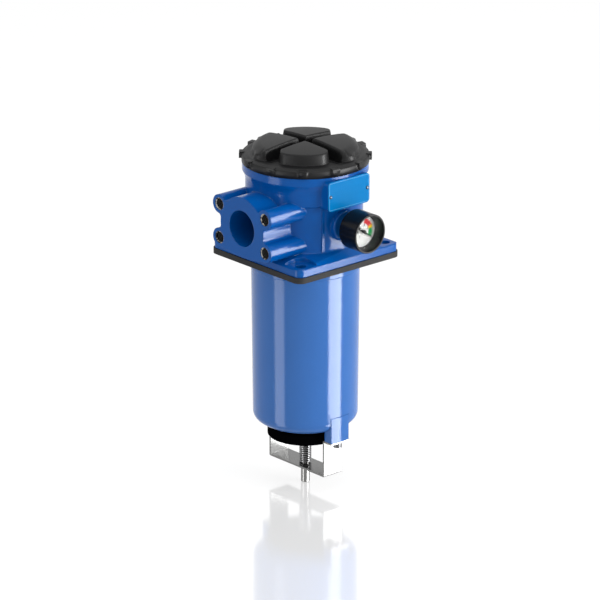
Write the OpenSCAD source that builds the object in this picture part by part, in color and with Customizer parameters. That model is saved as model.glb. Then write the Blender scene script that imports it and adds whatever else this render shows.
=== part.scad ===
// Semi-submerged suction filter for a hydraulic tank.
// Millimetres. Z up, origin on the filter's axis at the underside of the tank gasket.
// The outlet port looks along -X, the vacuum gauge and the nameplate along -Y.

/* [Bowl] */
// Outer radius of the bowl, which drives the other radii
bowl_r = 55.3; // [54:0.1:57]
// Wall thickness of the bowl at half its height
bowl_wall = 3.2; // [2.5:0.1:4]
// Half of the draft of the bowl's outside, wider above and narrower below
bowl_draft = 0.7; // [0:0.1:0.9]
// Height of the outer bottom of the bowl
bowl_z = -179.3; // [-190:0.1:-160]
// Thickness of the bottom of the bowl
bowl_floor = 4.5; // [3.5:0.1:6]
// Outer corner radius at the bottom
bowl_corner_r = 10; // [8:0.5:12]
// Distance the collar under the flange stands out of the bowl
bowl_collar_step = 1.9; // [1:0.1:2.5]
// Height of the collar below the gasket
bowl_collar_h = 10; // [6:0.5:14]
// Distance from the bowl's outside to its neck
neck_step = 1.3; // [0.8:0.1:1.8]
// Distance from the bowl's outside to the valve opening
seat_step = 24.3; // [22:0.1:27]
// Width of the valve seat ring
seat_ring_w = 4.5; // [3:0.1:6]
// Height of the valve seat ring
seat_ring_h = 3.3; // [2:0.1:4]
// Width of the bracket lugs
lug_x = 24; // [20:0.5:26]
// Height of the bracket lugs below the bowl
lug_drop = 11.4; // [10:0.1:14]
// Radial thickness of the bracket lugs
lug_t = 11.8; // [11:0.1:13]

/* [Head] */
// Wall thickness of the head
head_wall = 5.2; // [4.6:0.1:6]
// Distance the upper part of the head stands out of the lower part
band_step = 2.5; // [1.5:0.1:3]
// Distance the collar under the lid stands out of the upper part
collar_step = 3.2; // [2.5:0.1:4]
// Height of the step in the head
step_z = 70; // [66:0.5:74]
// Height where the head starts to curve out to the collar
flare_z = 83; // [80:0.5:86]
// Height where the collar starts
collar_z = 93.2; // [92:0.2:95]
// Height of the top of the head
head_top_z = 101.6; // [100.4:0.2:103]
// Distance from the inside of the head to its wider mouth
mouth_step = 3.4; // [2.8:0.1:3.6]
// Depth of the mouth below the top of the head
mouth_h = 15.6; // [14.8:0.2:18]
// Distance from the inside of the head to the sealing bore
land_step = 6.5; // [6:0.1:7]
// Height of the underside of the sealing land
land_z0 = 10; // [9:0.5:12]
// Height of the sealing land
land_h = 8; // [7.6:0.2:10]
// Width of the small rib down the front of the head
rib_w = 3; // [2:0.2:4]
// Distance the small rib stands out of the head
rib_h = 2.2; // [1.5:0.1:3]

/* [Tank flange] */
// Distance from the head's outside to the middle of a flange side
flange_margin = 9.2; // [8:0.1:11]
// Corner radius of the flange
flange_corner_r = 8; // [6:0.5:10]
// Thickness of the flange plate at the bolt pads
flange_t = 8.4; // [7:0.2:10]
// Chamfer along the top edge of the flange
flange_edge = 1.2; // [0.8:0.1:1.6]
// Distance from the flange side to the bolt holes
bolt_inset = 10.9; // [10:0.1:12]
// Diameter of the flange bolt holes
bolt_d = 11; // [9:0.5:11]
// Radius of the bolt pads cut into the sloping skirt
pad_r = 13.7; // [11:0.1:15]
// Height of the sloping skirt above the flange plate
skirt_h = 6; // [4:0.5:8]

/* [Tank gasket] */
// Distance the gasket stands out of the flange
gasket_lip = 1.2; // [0.5:0.1:3]
// Thickness of the gasket
gasket_t = 6; // [4:0.5:8]
// Clearance of the gasket round the bowl and the bolts
gasket_gap = 0.3; // [0.2:0.1:0.6]

/* [Outlet port] */
// Distance of the port face from the head's outside
port_reach = 26.8; // [25:0.1:31]
// Height of the port centre
port_z = 46.5; // [45:0.5:48]
// Radius of the port bore
port_bore_r = 19; // [18:0.2:19.5]
// Wall of the round barrel of the port
port_wall = 14; // [13:0.5:15]
// Hole distance across the port face
port_pitch_y = 69.9;
// Hole distance up the port face
port_pitch_z = 35.7;
// Radius of the four screw bosses
boss_r = 10; // [9:0.2:10.5]
// Radius of the fillets between barrel and bosses
boss_fillet = 4; // [2.5:0.5:5]
// Height of the flat underside of the port block
port_foot_z = 16; // [15:0.2:17]
// Outer radius of the thread inserts
insert_r = 6.5; // [6.2:0.1:7]
// Thread core radius of the inserts
insert_bore_r = 5.1; // [5:0.05:5.3]
// Length of the thread inserts
insert_l = 20; // [16:1:24]
// Depth of the blind screw holes
screw_hole_l = 26; // [24:1:30]

/* [Nameplate] */
// Width of the nameplate
plate_w = 55.6; // [54:0.2:58]
// Height of the nameplate
plate_h = 31; // [29:0.5:31]
// Corner radius of the nameplate
plate_corner_r = 4; // [3:0.5:6]
// Thickness of the nameplate
plate_t = 0.8; // [0.5:0.1:1.2]
// Distance the nameplate pad stands out of the collar
plate_pad_step = 1; // [0.6:0.1:2]
// Distance from the top of the head to the plate's centre
plate_drop = 18.8; // [17.8:0.1:19]
// Distance from the plate's ends to the rivets
rivet_inset = 2.9; // [2.5:0.1:4]
// Radius of the rivet heads
rivet_head_r = 1.9; // [1.6:0.1:2.4]

/* [Vacuum gauge] */
// Height of the gauge centre
gauge_z = 46.5; // [44:0.5:48]
// Outer radius of the gauge case
gauge_r = 20.5; // [19:0.5:21]
// Distance from the gauge boss to the back of the case
gauge_stand = 10.4; // [9:0.2:14]
// Depth of the gauge from the back to the front rim
gauge_depth = 25.6; // [22:0.2:28]
// Wall thickness of the case
gauge_wall = 1.4; // [1:0.1:1.8]
// Distance from the outside of the case to the edge of the dial
dial_inset = 4.1; // [3:0.1:5]
// Depth of the dial behind the rim
dial_depth = 11.6; // [8:0.2:14]
// Angle of the pointer at zero, below the level on the right
pointer_zero = 36; // [30:1:50]
// Radius of the boss that the gauge screws into
gauge_boss_r = 16.5; // [14:0.5:18]
// Distance the gauge boss stands out of the head
gauge_boss_step = 3.8; // [3:0.1:8]
// Radius of the gauge thread
gauge_thread_r = 4.9; // [4.6:0.1:6]
// Width across the flats of the gauge hexagon
gauge_hex_af = 14; // [12:1:17]

/* [Lid] */
// Distance the lid rim stands out of the head's collar
lid_step = 0.4; // [0:0.1:1]
// Height of the top of the rim above the head
lid_rim_h = 9.4; // [9:0.2:13]
// Radial height of the grip lugs
lug_h = 2.5; // [1.5:0.1:3.5]
// Width of a grip lug
lug_w = 8.4; // [6:0.2:10]
// Height of the underside of the grip lugs above the head
lug_foot = 2.2; // [1.5:0.1:4]
// Number of grip lugs
lug_n = 12; // [8:1:16]
// Height of the crown of the lid above the head
crown_h = 23.3; // [22:0.1:26]
// Drop of the lid's top from the crown to the edge of the lobes
crown_drop = 1.1; // [0.6:0.1:3]
// Distance from the rim's outside to the shoulder of the lobes
lobe_step = 15.3; // [14:0.1:17]
// Width of the cross-shaped groove at its middle
groove_w = 8.8; // [8:0.2:12]
// Half of the angle that a lobe takes up
lobe_half = 32; // [30:0.5:36]
// Corner radius of the lobes
lobe_corner_r = 8; // [5:0.5:10]
// Wall thickness of the hollow lobes
lobe_wall = 3.5; // [3:0.1:5]
// Depth of the groove's middle below the rim
groove_dish = 4; // [0:0.2:4]
// Turn of the lid about its axis
lid_turn = 1; // [0:1:29]
// Length of the plug in the head's mouth
plug_l = 14; // [12:0.5:14.4]

/* [Foot valve] */
// Width of the valve disc outside the valve opening
disc_lap = 8.4; // [7:0.1:9]
// Thickness of the valve disc
disc_t = 11.5; // [9:0.5:13]
// Thickness of the rubber face on the disc
face_t = 2.3; // [1.5:0.1:3]
// Radius of the valve stem
stem_r = 4.6; // [4:0.1:5]
// Length of the valve stem below the bracket
stem_tail = 19.4; // [14:0.2:24]
// Mean radius of the valve spring
vspring_r = 5.75; // [5.6:0.05:6.5]
// Wire radius of the valve spring
vspring_wire_r = 0.7; // [0.5:0.05:0.8]
// Turns of the valve spring
vspring_n = 15; // [10:1:17]
// Width of the bracket strip
bracket_w = 24.2; // [23:0.1:27]
// Thickness of the bracket strip
bracket_t = 2; // [1.5:0.1:2.5]
// Height from the underside of the bracket to the closed valve disc
bracket_h = 34.6; // [32:0.1:40]
// Distance from the bowl's outside to the bracket screws
screw_inset = 5.3; // [5:0.1:6]
// Radius of the bracket screw heads
screw_head_r = 4.5; // [4:0.1:4.8]
// Height of the bracket screw heads
screw_head_h = 5.2; // [3:0.2:6]
// Length of the bracket screws in the lugs
screw_l = 9; // [7:0.5:10]

/* [Filter element] */
// Distance from the inside of the bowl to the pleats
pleat_gap = 9.6; // [8:0.1:11]
// Depth of the pleats
pleat_depth = 10; // [7:0.5:11]
// Number of pleats
pleat_n = 45; // [30:1:60]
// Thickness of the pleated medium
media_t = 0.9; // [0.6:0.1:1.2]
// Wall thickness of the support tube
core_t = 1; // [0.8:0.1:1.5]
// Radius of the holes in the support tube
core_hole_r = 3.5; // [2:0.1:4]
// Height of the element above the bottom of the bowl
element_lift = 9.3; // [6:0.1:12]
// Height of the element's bottom cap
cap_h = 12; // [8:0.5:16]
// Distance from the support tube to the opening in the top cap
cap_lip = 3.5; // [2.5:0.1:6]
// Distance from the sealing bore to the middle of the hold-down spring's wire
hspring_step = 9.5; // [8:0.1:10]
// Wire radius of the hold-down spring
hspring_wire_r = 1.7; // [1.4:0.1:2]
// Turns of the hold-down spring
hspring_n = 5; // [4:1:7]

/* [Hidden] */
$fn = 96;
e = 0.05;
bowl_in_r = bowl_r - bowl_wall;
bowl_collar_r = bowl_r + bowl_collar_step;
bowl_neck_r = bowl_r - neck_step;
seat_r = bowl_r - seat_step;
seat_z = bowl_z - seat_ring_h;
lug_z = bowl_z - lug_drop;
lug_y0 = bowl_r - lug_t;
chamber_r = bowl_neck_r;
head_r = chamber_r + head_wall;
band_r = head_r + band_step;
collar_r = band_r + collar_step;
mouth_r = chamber_r + mouth_step;
land_r = chamber_r - land_step;
land_z1 = land_z0 + land_h;
flange_w = 2 * (head_r + flange_margin);
flange_z0 = gasket_t;
skirt_top_r = head_r + 1.8;
flange_z1 = gasket_t + flange_t;
skirt_z = flange_z1 + skirt_h;
bolt_h = flange_w / 2 - bolt_inset;
gasket_w = flange_w + 2 * gasket_lip;
port_x = head_r + port_reach;
port_barrel_r = port_bore_r + port_wall;
boss_y = port_pitch_y / 2;
boss_z = port_pitch_z / 2;
plate_pad_y = collar_r + plate_pad_step;
plate_z = head_top_z - plate_drop;
rivet_pitch = plate_w - 2 * rivet_inset;
gauge_boss_y = head_r + gauge_boss_step;
gauge_back_y = gauge_boss_y + gauge_stand;
gauge_front_y = gauge_back_y + gauge_depth;
dial_r = gauge_r - dial_inset;
dial_y = gauge_front_y - dial_depth;
lid_r = collar_r + lid_step;
lid_z = head_top_z;
rim_z = lid_z + lid_rim_h;
crown_z = lid_z + crown_h;
lobe_r = lid_r - lobe_step;
lobe_foot_r = lobe_r + 3;
lobe_edge_z = crown_z - crown_drop;
lobe_nose = groove_w / 2 / sin(45);
groove_z = rim_z + 0.6;
plug_r = mouth_r - 0.35;
nose_r = chamber_r - 0.35;
nose_h = 5;
plug_z = lid_z - plug_l;
lid_bore_r = chamber_r - 8;
lid_roof_z = lid_z + 3;
seal_minor = 1.7;
lid_ring_major = chamber_r - e - seal_minor;
element_ring_major = land_r - e - seal_minor;
element_z = bowl_z + element_lift;
pleat_ro = bowl_in_r - pleat_gap;
pleat_ri = pleat_ro - pleat_depth;
core_r = pleat_ri - 2;
cap_open_r = core_r - cap_lip;
cap_z = land_z1;
cap_t = 3;
spigot_r = land_r - 0.3;
pleat_z0 = element_z + 4;
pleat_z1 = gasket_t - 2;
hspring_r = land_r - hspring_step;
spring_z0 = cap_z + cap_t;
disc_r = seat_r + disc_lap;
disc_top_z = seat_z - face_t;
disc_z = disc_top_z - disc_t;
bracket_z = disc_z - bracket_h;
bracket_in_z = bracket_z + bracket_t;
bracket_y = lug_y0 - 0.5;
foot_z = lug_z - bracket_t;
screw_y = bowl_r - screw_inset;
stem_z = bracket_z - stem_tail;
spring_z1 = lid_roof_z;
bend_r = 1.5;

// Square outline with rounded corners, centred.
module rounded_square(w, h, r) {
    union() {
        square([w - 2 * r, h], center = true);
        square([w, h - 2 * r], center = true);
        for (x = [-1, 1], y = [-1, 1])
            translate([x * (w / 2 - r), y * (h / 2 - r)]) circle(r);
    }
}

// Ring between two radii and two heights.
module ring(ro, ri, z0, z1) {
    translate([0, 0, z0]) difference() {
        cylinder(r = ro, h = z1 - z0);
        translate([0, 0, -1]) cylinder(r = ri, h = z1 - z0 + 2);
    }
}

// Round bar along -Y between two distances from the axis, at a height.
module y_bar(r, y0, y1, z) {
    translate([0, -y0, z]) rotate([90, 0, 0]) cylinder(r = r, h = y1 - y0);
}

// Outline of the port face: barrel, bosses, their fillets and the flat web below.
module port_outline() {
    d = sqrt(boss_y * boss_y + boss_z * boss_z);
    a = atan2(boss_z, boss_y);
    fo = port_barrel_r + boss_fillet;
    fb = boss_r + boss_fillet;
    t = acos((d * d + fo * fo - fb * fb) / (2 * d * fo));
    foot = port_foot_z - port_z;
    web = 0.5 - boss_z - boss_r;
    difference() {
        union() {
            circle(port_barrel_r);
            for (sy = [-1, 1], sz = [-1, 1]) {
                translate([sy * boss_y, sz * boss_z]) circle(boss_r);
                for (q = [-1, 1]) {
                    f = [fo * cos(a + q * t), fo * sin(a + q * t)];
                    difference() {
                        polygon([[0, 0], [sy * f[0], sz * f[1]], [sy * boss_y, sz * boss_z]]);
                        translate([sy * f[0], sz * f[1]]) circle(boss_fillet + e);
                    }
                }
            }
            polygon([[0, 0], [-boss_y, -boss_z], [-boss_y, web], [0, foot - 2],
                [boss_y, web], [boss_y, -boss_z]]);
        }
        translate([-port_barrel_r, foot - port_barrel_r])
            square([2 * port_barrel_r, port_barrel_r]);
    }
}

// Painted casting with the flange, the port barrel and the seats for gauge and plate.
module head() {
    color([0.0, 0.28, 0.62]) difference() {
        union() {
            head_flange();
            head_body();
            head_port();
            head_front();
        }
        head_inside();
        for (x = [-1, 1], y = [-1, 1])
            translate([x * bolt_h, y * bolt_h, flange_z0 - 1])
                cylinder(d = bolt_d, h = flange_t + 2);
        translate([-port_x - 1, 0, port_z]) rotate([0, 90, 0])
            cylinder(r = port_bore_r, h = port_x);
        for (y = [-1, 1], z = [-1, 1])
            translate([-port_x, y * boss_y, port_z + z * boss_z]) rotate([0, 90, 0]) {
                translate([0, 0, -1]) cylinder(r = insert_r, h = insert_l + 1);
                cylinder(r = insert_bore_r, h = screw_hole_l);
            }
    }
}

// Flange plate with its edge chamfer, the sloping skirt and the four bolt pads.
module head_flange() {
    inset = 2 * flange_edge;
    corner = flange_corner_r - flange_edge;
    pad_w = 60;
    pad = bolt_h + pad_w / 2 - pad_r;
    translate([0, 0, flange_z0]) linear_extrude(flange_t - flange_edge)
        rounded_square(flange_w, flange_w, flange_corner_r);
    intersection() {
        translate([0, 0, flange_z0 + e]) linear_extrude(flange_t - e)
            rounded_square(flange_w, flange_w, flange_corner_r);
        flange_slope(0);
        flange_slope(90);
    }
    difference() {
        hull() {
            translate([0, 0, flange_z1 - 0.5]) linear_extrude(0.5)
                rounded_square(flange_w - inset, flange_w - inset, corner, $fn = 24);
            translate([0, 0, skirt_z - 0.5]) cylinder(r = skirt_top_r, h = 0.5, $fn = 48);
        }
        for (x = [-1, 1], y = [-1, 1])
            translate([x * pad, y * pad, flange_z1]) linear_extrude(2 * skirt_h)
                rounded_square(pad_w, pad_w, pad_r);
    }
    rotate_extrude() polygon([
        [0, flange_z0 + 1],
        [skirt_top_r - 0.3, flange_z0 + 1],
        [skirt_top_r - 0.3, skirt_z + 0.1],
        [head_r + 0.6, skirt_z + 0.9],
        [head_r + 0.1, skirt_z + 2.2],
        [head_r - 1, skirt_z + 3],
        [0, skirt_z + 3]
    ]);
}

// Prism whose top edges are chamfered along two sides of the flange.
module flange_slope(a) {
    h = flange_w / 2;
    rotate([0, 0, a]) rotate([90, 0, 0]) linear_extrude(2 * h + 2, center = true) polygon([
        [-h, flange_z0],
        [h, flange_z0],
        [h, flange_z1 - flange_edge],
        [h - flange_edge, flange_z1],
        [-h + flange_edge, flange_z1],
        [-h, flange_z1 - flange_edge]
    ]);
}

// Turned outside of the head, with the hollow curve out to the collar.
module head_body() {
    flare = [[0.08, 0.29], [0.23, 0.49], [0.46, 0.69], [0.78, 0.88], [1, 1]];
    rotate_extrude() polygon(concat(
        [[0, flange_z0 + 1],
            [head_r, flange_z0 + 1],
            [head_r, step_z - 1.2],
            [band_r - 0.8, step_z],
            [band_r, step_z + 0.9],
            [band_r, flare_z]],
        [for (f = flare)
            [band_r + collar_step * f[0], flare_z + (collar_z - flare_z) * f[1]]],
        [[collar_r, head_top_z - 0.4],
            [collar_r - 0.4, head_top_z],
            [0, head_top_z]]
    ));
}

// Barrel and bosses of the outlet port.
module head_port() {
    translate([-port_x, 0, port_z]) rotate([90, 0, 90])
        linear_extrude(port_x - 20) port_outline();
}

// Nameplate pad, gauge boss and the rib on the front of the head.
module head_front() {
    boss_edge = 1.2;
    translate([0, -plate_pad_y, plate_z]) rotate([-90, 0, 0])
        linear_extrude(20) rounded_square(plate_w, plate_h, plate_corner_r);
    gauge_turned() polygon([
        [0, head_r - 20],
        [gauge_boss_r, head_r - 20],
        [gauge_boss_r, gauge_boss_y - boss_edge],
        [gauge_boss_r - boss_edge, gauge_boss_y],
        [0, gauge_boss_y]
    ]);
    translate([-plate_w / 2 + 2, -head_r * cos(27.3) - rib_h, flange_z1])
        cube([rib_w, 20, step_z - flange_z1 + 4]);
}

// Inside of the head: bowl socket, sealing bore, chamber, lid mouth and gauge hole.
module head_inside() {
    translate([0, 0, flange_z0 - 1])
        cylinder(r = bowl_neck_r + e, h = land_z0 - flange_z0 + 1);
    translate([0, 0, land_z0 - 1]) cylinder(r = land_r, h = land_z1 - land_z0 + 2);
    translate([0, 0, land_z1]) cylinder(r = chamber_r, h = head_top_z - land_z1 + 1);
    translate([0, 0, head_top_z - mouth_h]) cylinder(r = mouth_r, h = mouth_h + 1);
    y_bar(gauge_thread_r + e, chamber_r - 4, gauge_boss_y + 1, gauge_z);
}

// Steel thread inserts of the four port screws.
module thread_inserts() {
    color([0.72, 0.72, 0.7]) for (y = [-1, 1], z = [-1, 1])
        translate([-port_x + 0.3, y * boss_y, port_z + z * boss_z]) rotate([0, 90, 0])
            difference() {
                cylinder(r = insert_r, h = insert_l - 0.3);
                translate([0, 0, -1]) cylinder(r = insert_bore_r, h = insert_l + 1);
                translate([0, 0, -e])
                    cylinder(r1 = insert_bore_r + 0.8, r2 = insert_bore_r, h = 0.8);
            }
}

// Flat gasket between flange and tank, with its bolt holes.
module tank_gasket() {
    color([0.2, 0.19, 0.18]) linear_extrude(gasket_t) difference() {
        rounded_square(gasket_w, gasket_w, flange_corner_r + gasket_lip);
        circle(bowl_collar_r + gasket_gap);
        for (x = [-1, 1], y = [-1, 1])
            translate([x * bolt_h, y * bolt_h]) circle(d = bolt_d + 2 * gasket_gap);
    }
}

// Cast bowl with its neck, collar, valve seat and the two bracket lugs.
module bowl() {
    zc = bowl_z + bowl_corner_r;
    rc = bowl_r - bowl_draft - bowl_corner_r;
    collar_in_r = bowl_in_r - 1.5;
    color([0.24, 0.41, 0.7]) difference() {
        union() {
            rotate_extrude() polygon(concat(
                [[seat_r, seat_z], [seat_r + seat_ring_w, seat_z],
                    [seat_r + seat_ring_w, bowl_z], [rc, bowl_z]],
                [for (a = [-75:15:-15]) [rc + bowl_corner_r * cos(a), zc + bowl_corner_r * sin(a)]],
                [[bowl_r - bowl_draft, zc], [bowl_r + bowl_draft, -bowl_collar_h - 1],
                    [bowl_collar_r, -bowl_collar_h], [bowl_collar_r, flange_z0],
                    [bowl_neck_r, flange_z0], [bowl_neck_r, land_z0 - 0.4],
                    [collar_in_r, land_z0 - 0.4], [collar_in_r, -bowl_collar_h],
                    [bowl_in_r, -bowl_collar_h - 3], [bowl_in_r, zc],
                    [bowl_in_r - 2.5, zc - 4.2], [bowl_in_r - 7, bowl_z + bowl_floor],
                    [seat_r, bowl_z + bowl_floor]]
            ));
            ring(rc + 0.6, rc - 2, bowl_z - 1, bowl_z + 1);
            intersection() {
                for (y = [0, 1]) mirror([0, y, 0]) union() {
                    translate([-lug_x / 2, lug_y0, lug_z])
                        cube([lug_x, lug_t, bowl_z - lug_z + bowl_floor + 2]);
                    translate([-lug_x / 2, bowl_in_r + 0.5, lug_z])
                        cube([lug_x, lug_t, zc - lug_z + 6]);
                }
                ring(bowl_r, lug_y0 - 1, lug_z - 1, 0);
            }
        }
        for (y = [-1, 1])
            translate([0, y * screw_y, lug_z - 1]) cylinder(r = 2.5, h = screw_l + 2);
    }
}

// Blank nameplate on the front pad.
module nameplate() {
    color([0.0, 0.5, 0.82]) difference() {
        translate([0, -plate_pad_y, plate_z]) rotate([90, 0, 0])
            linear_extrude(plate_t) rounded_square(plate_w, plate_h, plate_corner_r);
        for (x = [-1, 1]) translate([x * rivet_pitch / 2, 0, 0])
            y_bar(1.1, plate_pad_y - 1, plate_pad_y + 2, plate_z);
    }
}

// Two domed rivets that hold the nameplate.
module nameplate_rivets() {
    color([0.75, 0.77, 0.8]) for (x = [-1, 1])
        translate([x * rivet_pitch / 2, 0, 0]) {
            y_bar(1, plate_pad_y, plate_pad_y + plate_t + 0.2, plate_z);
            translate([0, -plate_pad_y - plate_t, plate_z]) rotate([90, 0, 0])
                rotate_extrude() polygon([
                    [0, 0], [rivet_head_r, 0], [rivet_head_r * 0.92, 0.5],
                    [rivet_head_r * 0.7, 0.9], [rivet_head_r * 0.38, 1.15], [0, 1.25]
                ]);
        }
}

// Brass connection of the gauge: thread, hexagon and collar.
module gauge_stem() {
    color([0.78, 0.62, 0.3]) difference() {
        union() {
            y_bar(gauge_thread_r, chamber_r + 1, gauge_boss_y + 1, gauge_z);
            translate([0, -gauge_boss_y, gauge_z]) rotate([90, 30, 0])
                cylinder(d = gauge_hex_af / cos(30), h = 6, $fn = 6);
            y_bar(gauge_thread_r + 0.7, gauge_boss_y + 5, gauge_back_y, gauge_z);
        }
        y_bar(1.5, chamber_r - 1, gauge_back_y + 1, gauge_z);
    }
}

// Turned profile laid along -Y through the gauge centre.
module gauge_turned() {
    translate([0, 0, gauge_z]) rotate([90, 0, 0]) rotate_extrude() children();
}

// Gauge case: cup with a conical inner wall down to the dial.
module gauge_case() {
    color([0.03, 0.03, 0.035]) gauge_turned() polygon([
        [0, gauge_back_y],
        [gauge_r - 2, gauge_back_y],
        [gauge_r - 0.6, gauge_back_y + 0.5],
        [gauge_r, gauge_back_y + 1.6],
        [gauge_r, gauge_front_y - 1.2],
        [gauge_r - gauge_wall, gauge_front_y - 1.2],
        [gauge_r - gauge_wall, gauge_front_y - 2.4],
        [dial_r + 0.8, dial_y + 0.6],
        [dial_r + 0.8, dial_y - 1],
        [0, dial_y - 1]
    ]);
}

// Dial plate.
module gauge_dial() {
    color([0.95, 0.95, 0.93]) gauge_turned() polygon([
        [1.1, dial_y - 1], [dial_r, dial_y - 1], [dial_r, dial_y - 0.3], [1.1, dial_y - 0.3]
    ]);
}

// Pointer with its hub, long needle and short tail, pointing at zero, low on the right.
module gauge_pointer() {
    tail = 11;
    tip = dial_r - 2.2;
    color([0.05, 0.05, 0.05]) translate([0, 0, gauge_z]) rotate([90, 0, 0]) {
        translate([0, 0, dial_y - 1 + e]) cylinder(r = 1.05, h = 3.5);
        translate([0, 0, dial_y + 1.6]) cylinder(r = 2.1, h = 1.6);
        rotate([0, 0, -pointer_zero]) translate([0, 0, dial_y + 1.8]) linear_extrude(0.5)
            polygon([
                [-tail, -1.1], [-tail + 0.5, -1.4], [-4, -1.2], [0, -0.8], [tip - 1, -0.35],
                [tip, 0], [tip - 1, 0.35], [0, 0.8], [-4, 1.2], [-tail + 0.5, 1.4], [-tail, 1.1]
            ]);
    }
}

// Clear window of the gauge.
module gauge_lens() {
    color([0.8, 0.85, 0.88, 0.3]) gauge_turned() polygon([
        [0, gauge_front_y - 2.4], [gauge_r - gauge_wall - 0.1, gauge_front_y - 2.4],
        [gauge_r - gauge_wall - 0.1, gauge_front_y - 1.2], [0, gauge_front_y - 1.2]
    ]);
}

// Gloss black ring rolled over the front of the case.
module gauge_bezel() {
    color([0.03, 0.03, 0.035]) gauge_turned() polygon([
        [gauge_r - gauge_wall - 0.8, gauge_front_y - 1.2],
        [gauge_r, gauge_front_y - 1.2],
        [gauge_r, gauge_front_y - 0.5],
        [gauge_r - 0.5, gauge_front_y],
        [gauge_r - gauge_wall - 0.3, gauge_front_y],
        [gauge_r - gauge_wall - 0.8, gauge_front_y - 0.5]
    ]);
}

// Angle between a lobe's flank and its middle line.
function lobe_flank() =
    let (m = lobe_foot_r - lobe_corner_r, a = lobe_half - asin(lobe_corner_r / m),
        x = m * cos(a) - lobe_nose, y = m * sin(a))
    atan2(y, x) + asin(lobe_corner_r / sqrt(x * x + y * y));

// Plan of one lobe of the lid: a wedge that widens outwards, with rounded outer corners.
module lobe_outline() {
    m = lobe_foot_r - lobe_corner_r;
    a = lobe_half - asin(lobe_corner_r / m);
    c = [m * cos(a), m * sin(a)];
    u = lobe_flank() + 90;
    arc = [for (i = [0:6]) let (q = u + (a - u) * i / 6)
        [c[0] + lobe_corner_r * cos(q), c[1] + lobe_corner_r * sin(q)]];
    far = lobe_foot_r + 8;
    side = concat(arc, [[far * cos(a), far * sin(a)]]);
    polygon(concat([[lobe_nose, 0]], side, [[far / cos(a), 0]],
        [for (i = [len(side) - 1:-1:0]) [side[i][0], -side[i][1]]]));
}

// Screw lid: plug, rim with grip lugs and four hollow lobes around a cross groove.
module lid() {
    color([0.1, 0.1, 0.1]) rotate([0, 0, lid_turn]) difference() {
        union() {
            rotate_extrude() polygon([
                [0, plug_z - nose_h],
                [nose_r, plug_z - nose_h],
                [nose_r, plug_z],
                [plug_r, plug_z],
                [plug_r, lid_z],
                [lid_r, lid_z],
                [lid_r, rim_z - 2.4],
                [lid_r - 1, rim_z - 1.4],
                [lobe_foot_r + 3, rim_z],
                [lobe_foot_r, groove_z],
                [lobe_foot_r - 12, groove_z],
                [lobe_foot_r - 22, groove_z - 0.8 * groove_dish],
                [0, groove_z - groove_dish]
            ]);
            for (i = [0:lug_n - 1])
                rotate([0, 0, 45 + i * 360 / lug_n])
                    translate([lid_r - 6, -lug_w / 2, lid_z + lug_foot])
                        cube([6 + lug_h, lug_w, lid_rim_h - lug_foot]);
            intersection() {
                rotate_extrude() polygon([
                    [0, lid_z],
                    [lobe_foot_r, lid_z],
                    [lobe_foot_r, rim_z],
                    [lobe_r + 1.8, rim_z + 2.4],
                    [lobe_r + 0.4, lobe_edge_z - 2.4],
                    [lobe_r - 0.5, lobe_edge_z - 0.9],
                    [lobe_r - 2.2, lobe_edge_z],
                    [lobe_r - 20, crown_z - 0.35 * crown_drop],
                    [0, crown_z]
                ]);
                for (i = [0:3]) rotate([0, 0, 45 + i * 90])
                    translate([0, 0, lid_z]) linear_extrude(crown_h + 1) lobe_outline();
            }
        }
        translate([0, 0, plug_z - nose_h - 1])
            cylinder(r = lid_bore_r, h = lid_roof_z - plug_z + nose_h + 1);
        for (i = [0:3]) rotate([0, 0, 45 + i * 90]) lobe_hollow();
        ring(nose_r + 1, lid_ring_major - seal_minor - e,
            plug_z - nose_h + 0.8, plug_z - nose_h + 1 + 2 * seal_minor);
    }
}

// Hollow of one lobe, open to the inside of the lid, clear of the spring's seat.
module lobe_hollow() {
    f = lobe_flank();
    x = lobe_nose + lobe_wall / sin(f);
    t = hspring_r - 16;
    translate([0, 0, lid_roof_z - 1])
        linear_extrude(lobe_edge_z - lobe_wall - lid_roof_z + 1) polygon([
            [x, 0], [x + t * cos(f), t * sin(f)], [hspring_r - 4, 6], [hspring_r - 4, -6],
            [x + t * cos(f), -t * sin(f)]
        ]);
}

// O-ring of the lid.
module lid_o_ring() {
    color([0.05, 0.05, 0.05])
        translate([0, 0, plug_z - nose_h + 0.9 + seal_minor]) rotate_extrude()
            translate([lid_ring_major, 0]) circle(seal_minor, $fn = 32);
}

// Closed coil of round wire between two heights.
module coil(r, wire, z0, z1, turns, steps, sides) {
    n = turns * steps;
    h = z1 - z0 - 2 * wire;
    pts = [for (i = [0:n], j = [0:sides - 1])
        let (a = 360 * i / steps, b = 360 * j / sides)
            [(r + wire * cos(b)) * cos(a), (r + wire * cos(b)) * sin(a),
                z0 + wire + h * i / n + wire * sin(b)]];
    faces = concat(
        [[for (j = [0:sides - 1]) j]],
        [for (i = [0:n - 1], j = [0:sides - 1])
            [i * sides + j, (i + 1) * sides + j,
                (i + 1) * sides + (j + 1) % sides, i * sides + (j + 1) % sides]],
        [[for (j = [0:sides - 1]) n * sides + sides - 1 - j]]
    );
    polyhedron(points = pts, faces = faces, convexity = 10);
}

// Spring between the lid and the element's top cap.
module hold_down_spring() {
    color([0.7, 0.7, 0.72])
        coil(hspring_r, hspring_wire_r, spring_z0, spring_z1, hspring_n, 36, 8);
}

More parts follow.
